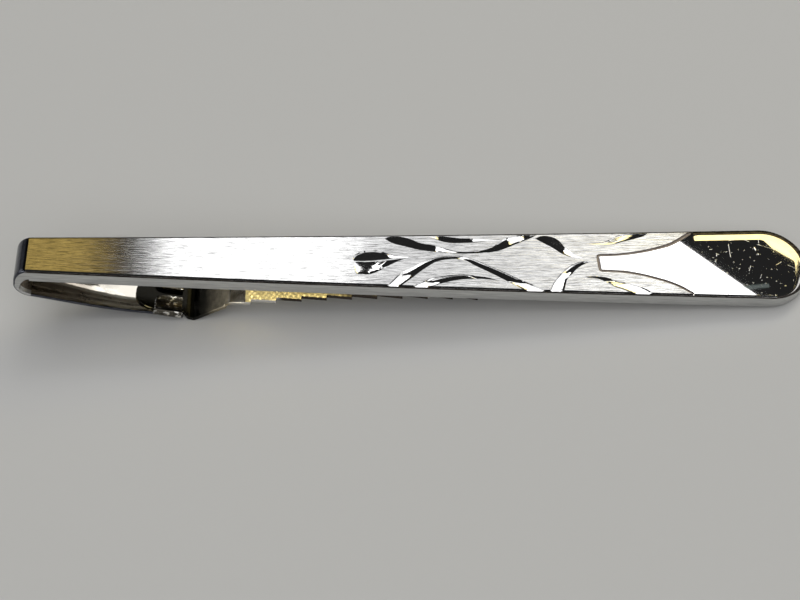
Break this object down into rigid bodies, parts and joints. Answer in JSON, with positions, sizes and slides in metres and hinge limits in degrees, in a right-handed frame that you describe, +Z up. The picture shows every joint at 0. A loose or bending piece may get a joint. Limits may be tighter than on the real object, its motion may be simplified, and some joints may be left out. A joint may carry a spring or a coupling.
{
  "type": "tie clip",
  "caption": "Slide-on tie clip: tapered metal bar with a round polished tip, folded at one end into a spring leg that carries a toothed gripping tongue under the bar.",
  "frame": {"origin": "on the surface the clip lies on, under the middle of its bounding box", "axes": "+X along the bar from the fold to the round tip, +Y across the bar, +Z up; the clip lies on its tongue and its tip, so the bar's top is tilted 5.9 degrees down towards +X"},
  "size_m": [0.061, 0.0066, 0.0075],
  "materials": {
    "bar_metal": "silver-tone plating, brushed lengthwise on top, mirror-polished round tip, satin sides",
    "leg_metal": "bright plated sheet, lightly scuffed",
    "tongue_metal": "bright plated spring sheet, finely knurled on its gripping face"
  },
  "bodies": {
    "bar": {"front_bar": "bar_metal"},
    "arm": {"spring_leg": "leg_metal", "toothed_tongue": "tongue_metal"}
  },
  "joints": [
    {"name": "fold_spring", "type": "hinge", "parent": "bar", "child": "arm", "pos_m": [-0.03049, 0, 0.00574], "axis": [0, 1, 0], "range_deg": [0, 8], "stiffness_Nm_per_rad": 1.5, "springref_deg": -4.01}
  ]
}
